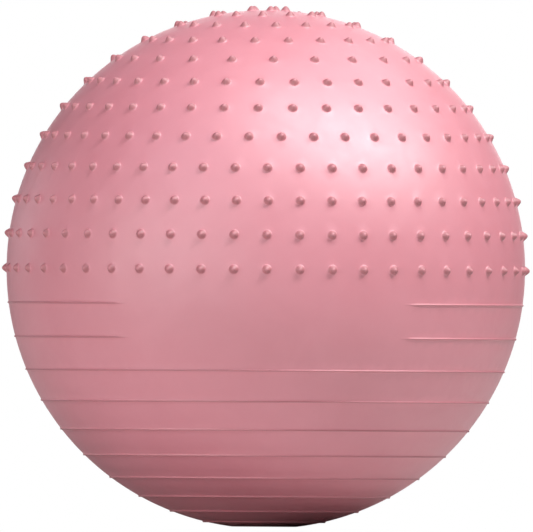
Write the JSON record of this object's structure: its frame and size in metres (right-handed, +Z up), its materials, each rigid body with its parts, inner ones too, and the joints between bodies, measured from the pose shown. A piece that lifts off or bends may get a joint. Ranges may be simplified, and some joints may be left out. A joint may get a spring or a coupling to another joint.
{
  "type": "exercise ball",
  "caption": "Hollow inflated exercise ball with conical massage nubs over its upper half, thin ribs round its lower half, a smooth front panel and a pull-out air plug at the back.",
  "frame": {"origin": "on the floor, at the centre of the flat patch the ball rests on", "axes": "+Z up through the ball's two poles, -Y towards the smooth front panel, +Y towards the valve"},
  "size_m": [0.6617, 0.6614, 0.6527],
  "materials": {
    "pink_pvc": "satin",
    "seat_pvc": "satin",
    "white_plug": "satin"
  },
  "bodies": {
    "ball": {"ball_skin": "pink_pvc", "valve_seat": "seat_pvc"},
    "plug": {"air_plug": "white_plug"}
  },
  "joints": [
    {"name": "plug_pull", "type": "slide", "parent": "ball", "child": "plug", "axis": [0, 0.98, -0.1989], "range_m": [0, 0.035]}
  ]
}
